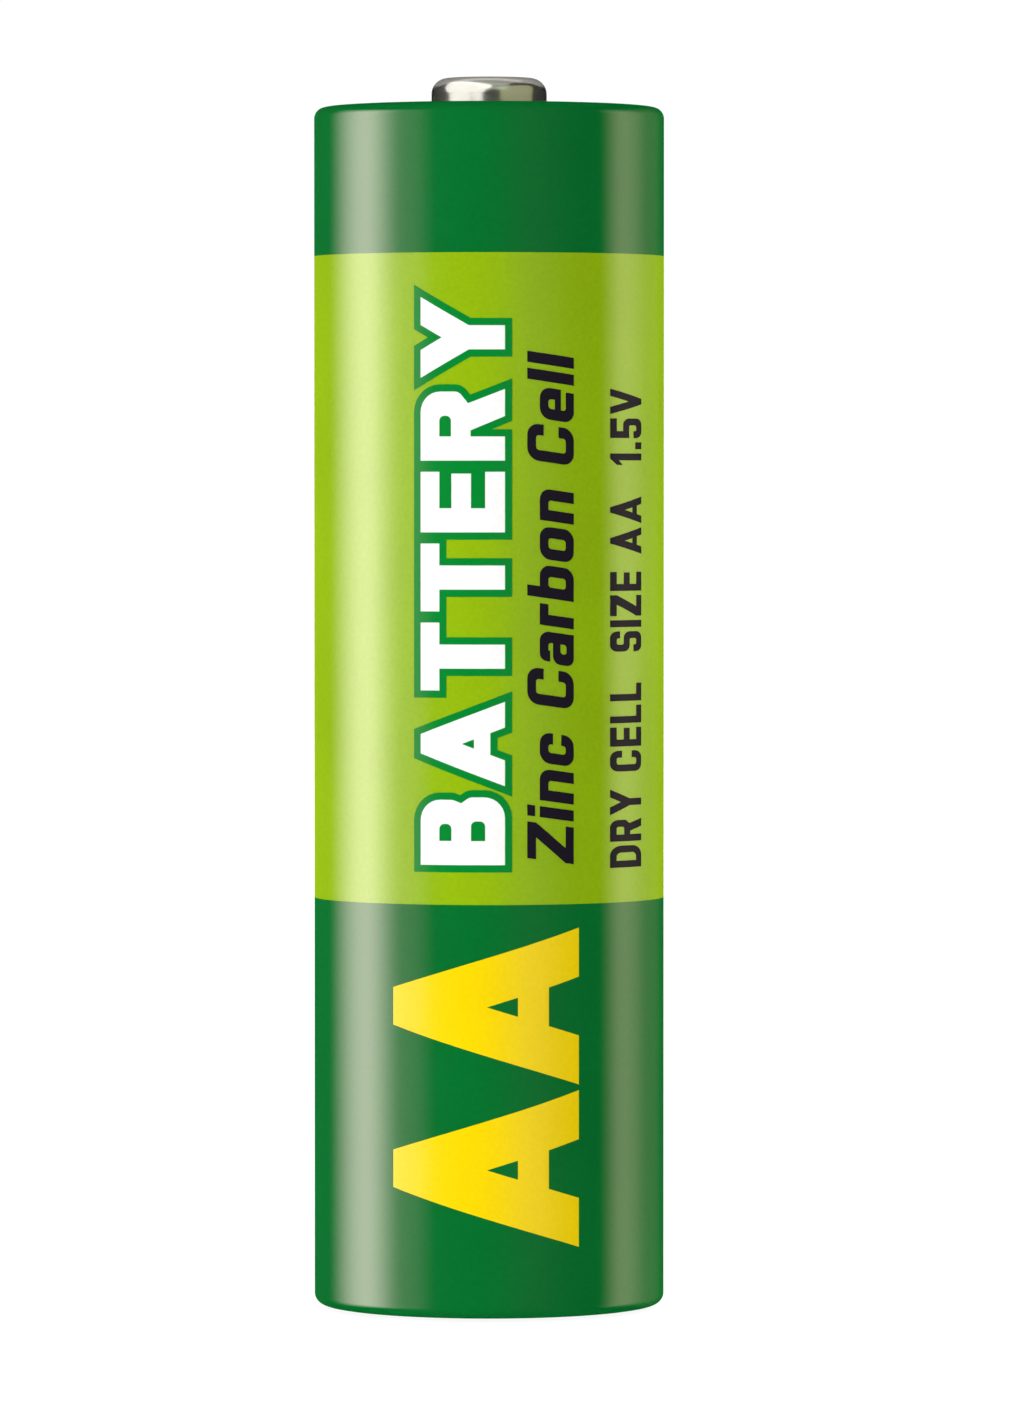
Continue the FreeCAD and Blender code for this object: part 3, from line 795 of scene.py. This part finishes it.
# ---- jacket: the CAD's own shape in finer steps ---------------------------------------------------
def jacket_section():
    """The sheet's outline as (radius, height), up the outside and then down the inside, and how many of
    its points are outside."""
    slope = LIP_DIP / (JACKET_R - LIP_R)
    thick = SHEET * math.hypot(1, slope)
    half_angle = (math.pi / 2 - math.atan(slope)) / 2
    past_rim = SHOULDER_BEND * (1 / math.tan(half_angle) - 1)
    inner_r = JACKET_R - SHEET
    inner_drop = slope * SHEET + thick
    outer, inner = [], []
    for rim, up in ((JACKET_BOTTOM, -1), (JACKET_TOP, 1)):
        corner = rim + up * past_rim
        wall_end = rim - up * 2 * SHOULDER_BEND
        outer.append([(LIP_R, corner - up * LIP_DIP, 0),
                      (TIN_R, corner, SHOULDER_BEND), (TIN_R, wall_end, 0)])
        inner.append([(LIP_R, corner - up * (LIP_DIP + thick), 0),
                      (inner_r, corner - up * inner_drop, SHOULDER_BEND - SHEET), (inner_r, wall_end, 0)])
    outside = outer[0] + outer[1][::-1]
    inside = inner[1] + inner[0][::-1]
    skin = rounded(outside + inside, steps=BEND_STEPS)
    count = len(rounded(outside + inside[:1], steps=BEND_STEPS)) - 1
    return skin, count


def jacket_columns():
    """Each column of points as (degrees from +X, how far it is sunk), with the seam's groove cut straight."""
    start, end = SEAM_ANGLE, SEAM_ANGLE + SEAM_WIDTH
    angles = np.arange(0, 360, COLUMN_STEP)
    before = [(angle, 0.0) for angle in angles if angle < start]
    groove = [(start, 0.0), (start, SEAM_DEPTH), (end, SEAM_DEPTH), (end, 0.0)]
    after = [(angle, 0.0) for angle in angles if angle > end]
    return before + groove + after


def fine_jacket(material):
    """The printed jacket, with the seam's groove sunk into its outside."""
    skin, outside_count = jacket_section()
    columns = jacket_columns()
    verts, faces = [], []
    for angle, sunk in columns:
        a = math.radians(angle)
        for k, (r, z) in enumerate(skin):
            if k < outside_count and r >= JACKET_R - SHOULDER_BEND:
                r -= sunk
            if k < outside_count and abs(z - JACKET_MIDDLE) > JACKET_MIDDLE - JACKET_BOTTOM - SHOULDER_BEND:
                z -= math.copysign(sunk, z - JACKET_MIDDLE)
            verts.append((r * math.cos(a), r * math.sin(a), z))
    size = len(skin)
    for i in range(len(columns)):
        here, after = i * size, (i + 1) % len(columns) * size
        for k in range(size):
            n = (k + 1) % size
            faces.append([here + k, after + k, after + n, here + n])
    mesh = bpy.data.meshes.new("jacket_print")
    mesh.from_pydata(verts, [], faces)
    mesh.validate()
    mesh.materials.append(material)
    mesh.shade_smooth()
    mesh.set_sharp_from_angle(angle=SHARP_EDGE)
    piece = bpy.data.objects.new("jacket_print", mesh)
    bpy.context.scene.collection.objects.link(piece)
    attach(piece, "root")
    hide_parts("outer_jacket")


fine_jacket(NODES["outer_jacket"].data.materials[0])


# ---- floor, lights and camera --------------------------------------------------------------------
MIDDLE = Vector((0, 0, CELL_TOP / 2))
FLOOR_R = 6.0
FLOOR_GREYS = (0.19, 0.19, 0.19, 1.0), (0.21, 0.21, 0.21, 1.0)
FLOOR_GLOW = (0.92, 1.02)              # from the cell's foot to the open floor
FLOOR_GLOW_SPAN = (0.01, 0.3)          # the distances from the axis that it changes over
SOFTBOX_DISTANCE = 0.6

# The tent reaches 45 degrees up and down, and a bell of light is as wide as its spread times root pi, so
# a lamp of brightness 1 times the gain lights a white wall that faces it to 1.
TENT_R = 0.8
LAMP_SPREAD = 18.0
LAMP_GAIN = math.pi / (math.pi / 4 + 0.5) / (math.radians(LAMP_SPREAD) * math.sqrt(math.pi))
LAMPS = [(-57, 1.09), (-150, 1.0), (29, 0.67), (123, 1.0)]

PANEL_R = 0.72
PANEL_FADE = (0.18, 0.5)               # above and below the cell's middle
LEFT_PANEL = [(-180, 0.15), (-168, 0.04), (-132, 0.04), (-90, 3.76), (-57, 0.52), (-54, 0.44), (-33, 0.0)]
LEFT_TINT = (1.0, 0.81, 0.78)
RIGHT_PANEL = [(76, 0.0), (99, 1.27), (132, 0.38), (165, 0.04), (180, 0.15)]
RIGHT_TINT = (0.99, 0.82, 0.57)

FILL = 0.5                             # the world, as matt surfaces see it
BACKDROP = 1.02                        # as the camera sees it
GLOSS_FILL = 0.02                      # as glossy ones see it

LENS = 220.3
CAMERA_PLACE = Vector((0.69, -352, 34.0)) * MM
CAMERA_TILT = 1.518                    # degrees down


def bright_floor():
    """A white table that glows, so that it stays white round the cell's foot."""
    material = bpy.data.materials.new("white_table")
    material.use_nodes = True
    tree = material.node_tree
    tree.nodes.clear()
    position = node(tree, "TexCoord").outputs["Object"]
    speck = noise(tree, position, size=4 * MM, detail=2.0)
    diffuse = node(tree, "BsdfDiffuse", {"Color": mixed(tree, speck, *FLOOR_GREYS)})
    level = ranged(tree, radius_of(tree, position), *FLOOR_GLOW, *FLOOR_GLOW_SPAN)
    glow = node(tree, "Emission", {"Strength": level})
    both = node(tree, "AddShader", {0: diffuse.outputs[0], 1: glow.outputs[0]})
    node(tree, "OutputMaterial", {"Surface": both.outputs[0]})
    return material


def around(radius, azimuth, z):
    """The point at this distance from the cell's axis. The azimuth is in radians."""
    return radius * math.sin(azimuth), -radius * math.cos(azimuth), z


def staged(name, verts, faces, material):
    """A piece of the studio, which isn't part of the cell."""
    mesh = bpy.data.meshes.new(name)
    mesh.from_pydata(verts, [], faces)
    mesh.materials.append(material)
    made = bpy.data.objects.new(name, mesh)
    bpy.context.scene.collection.objects.link(made)
    return made


def make_floor():
    rim = [around(FLOOR_R, -a, 0) for a in np.linspace(0, 2 * math.pi, 96, endpoint=False)]
    floor = staged("floor", rim, [list(range(len(rim)))], bright_floor())
    floor.visible_glossy = False
    floor.visible_diffuse = False


def shine_on(source, receivers):
    """Limits a light to its receivers."""
    source.light_linking.receiver_collection = bpy.data.collections.new(source.name)
    for piece in receivers:
        source.light_linking.receiver_collection.objects.link(piece)


def softbox(name, azimuth, elevation, radiance, width, height, receivers, colour=(1, 1, 1)):
    """A rectangular light facing the cell's middle, which shows only in the gloss of its receivers."""
    a, e = math.radians(azimuth), math.radians(elevation)
    away = Vector((math.sin(a) * math.cos(e), -math.cos(a) * math.cos(e), math.sin(e)))
    light = bpy.data.lights.new(name, "AREA")
    light.shape = "RECTANGLE"
    light.size, light.size_y = width, height
    light.energy = radiance * math.pi * width * height
    light.color = colour
    lamp = bpy.data.objects.new(name, light)
    bpy.context.scene.collection.objects.link(lamp)
    lamp.location = MIDDLE + away * SOFTBOX_DISTANCE
    lamp.rotation_euler = away.to_track_quat("Z", "Y").to_euler()
    lamp.visible_camera = False
    lamp.visible_diffuse = False
    shine_on(lamp, receivers)


def azimuth_of(tree, position):
    """The position's azimuth, in radians."""
    forward = math_node(tree, "MULTIPLY", part_of(tree, position, "Y"), -1.0)
    return math_node(tree, "ARCTAN2", part_of(tree, position, "X"), forward)


def bell(tree, position, azimuth, spread):
    """1 at an azimuth, fading to both sides of it."""
    turned = node(tree, "VectorRotate", {"Vector": position, "Angle": -math.radians(azimuth)},
                  rotation_type="Z_AXIS").outputs["Vector"]
    off = math_node(tree, "DIVIDE", azimuth_of(tree, turned), math.radians(spread))
    squared = math_node(tree, "MULTIPLY", off, off)
    return math_node(tree, "EXPONENT", math_node(tree, "MULTIPLY", squared, -1.0))


def glowing(name, level_at, colour=(1, 1, 1)):
    """A material that gives light, as strongly as level_at(tree, position) says."""
    material = bpy.data.materials.new(name)
    material.use_nodes = True
    material.cycles.emission_sampling = "NONE"
    tree = material.node_tree
    tree.nodes.clear()
    position = node(tree, "TexCoord").outputs["Object"]
    glow = node(tree, "Emission", {"Color": (*colour, 1.0), "Strength": level_at(tree, position)})
    node(tree, "OutputMaterial", {"Surface": glow.outputs[0]})
    return material


def wall(name, radius, begin, end, material):
    """An upright curved wall from one azimuth to another, which the camera doesn't see and which casts no
    shadow."""
    low, high = MIDDLE.z - radius, MIDDLE.z + radius
    angles = np.radians(np.linspace(begin, end, 73))
    verts = [around(radius, a, z) for a in angles for z in (low, high)]
    faces = [[i, i + 1, i + 3, i + 2] for i in range(0, len(verts) - 2, 2)]
    made = staged(name, verts, faces, material)
    made.visible_camera = False
    made.visible_shadow = False
    return made


def light_tent(lamps):
    """Soft light from all round, which shapes colour and leaves no highlight. Each lamp is
    (azimuth, brightness it gives to a white wall that faces it)."""

    def level_at(tree, position):
        level = 0.0
        for azimuth, brightness in lamps:
            shape = bell(tree, position, azimuth, LAMP_SPREAD)
            glow = math_node(tree, "MULTIPLY", shape, brightness * LAMP_GAIN)
            level = math_node(tree, "ADD", glow, level)
        return level

    tent = wall("light_tent", TENT_R, -180, 180, glowing("light_tent", level_at))
    tent.visible_glossy = False


def reflector(name, profile, colour, receivers):
    """A panel seen only in the gloss of its receivers. Its light passes smoothly through the profile's
    (azimuth, brightness) points, and fades towards the panel's top and bottom."""

    def level_at(tree, position):
        angle = azimuth_of(tree, position)
        level = profile[0][1]
        for (start, low), (end, high) in zip(profile, profile[1:]):
            span = math.radians(start), math.radians(end)
            change = ranged(tree, angle, 0.0, high - low, *span, curve="SMOOTHSTEP")
            level = math_node(tree, "ADD", change, level)
        height = part_of(tree, position, "Z")
        off_middle = math_node(tree, "ABSOLUTE", math_node(tree, "SUBTRACT", height, MIDDLE.z))
        fade = ranged(tree, off_middle, 1.0, 0.0, *PANEL_FADE, curve="SMOOTHSTEP")
        return math_node(tree, "MULTIPLY", level, fade)

    panel = wall(name, PANEL_R, profile[0][0], profile[-1][0], glowing(name, level_at, colour))
    panel.visible_diffuse = False
    shine_on(panel, receivers)


def make_lights():
    """A tent for matt colour, panels that show in the varnish, and softboxes that show in the plating."""
    light_tent(LAMPS)
    plated = [NODES["positive_cap"], NODES["negative_plate"]]
    varnished = [o for o in bpy.context.scene.objects if o.type == "MESH" and o not in plated]
    reflector("reflector_left", LEFT_PANEL, LEFT_TINT, varnished)
    reflector("reflector_right", RIGHT_PANEL, RIGHT_TINT, varnished)
    softbox("metal_left", azimuth=-60, elevation=27, radiance=1.5, width=1.36, height=1.16, receivers=plated)
    softbox("metal_right", azimuth=62, elevation=12, radiance=0.42, width=1.0, height=0.8, receivers=plated,
            colour=(0.95, 1.0, 0.6))
    softbox("metal_front", azimuth=13, elevation=43, radiance=0.34, width=0.5, height=0.5, receivers=plated,
            colour=(0.8, 1.0, 0.84))
    softbox("metal_top", azimuth=0, elevation=89.9, radiance=0.36, width=0.7, height=0.7, receivers=plated)
    softbox("metal_back", azimuth=180, elevation=45, radiance=0.45, width=1.0, height=0.9, receivers=plated)


def make_world():
    """White all round, as bright as each kind of ray needs."""
    world = bpy.data.worlds.new("studio")
    world.use_nodes = True
    world.cycles.sampling_method = "NONE"
    tree = world.node_tree
    tree.nodes.clear()
    ray = node(tree, "LightPath").outputs
    fill = node(tree, "Background", {"Color": (1, 1, 1, 1), "Strength": FILL}).outputs[0]
    seen = node(tree, "Background", {"Color": (1, 1, 1, 1), "Strength": BACKDROP}).outputs[0]
    mirrored = node(tree, "Background", {"Color": (0.9, 1.0, 0.9, 1), "Strength": GLOSS_FILL}).outputs[0]
    both = node(tree, "MixShader", {0: ray["Is Camera Ray"], 1: fill, 2: seen}).outputs[0]
    every = node(tree, "MixShader", {0: ray["Is Glossy Ray"], 1: both, 2: mirrored}).outputs[0]
    node(tree, "OutputWorld", {"Surface": every})
    bpy.context.scene.world = world


def make_camera():
    """A long lens a little below the cell's top, tilted slightly down."""
    camera = bpy.data.cameras.new("camera")
    camera.sensor_width = 36
    camera.lens = LENS
    camera.clip_start = 0.01
    camera.clip_end = 50
    seen = bpy.data.objects.new("camera", camera)
    bpy.context.scene.collection.objects.link(seen)
    seen.location = CAMERA_PLACE
    seen.rotation_euler = (math.radians(90 - CAMERA_TILT), 0, 0)
    bpy.context.scene.camera = seen


make_floor()
make_lights()
make_world()
make_camera()
bpy.context.scene.view_settings.view_transform = "Standard"
bpy.context.scene.view_settings.look = "None"
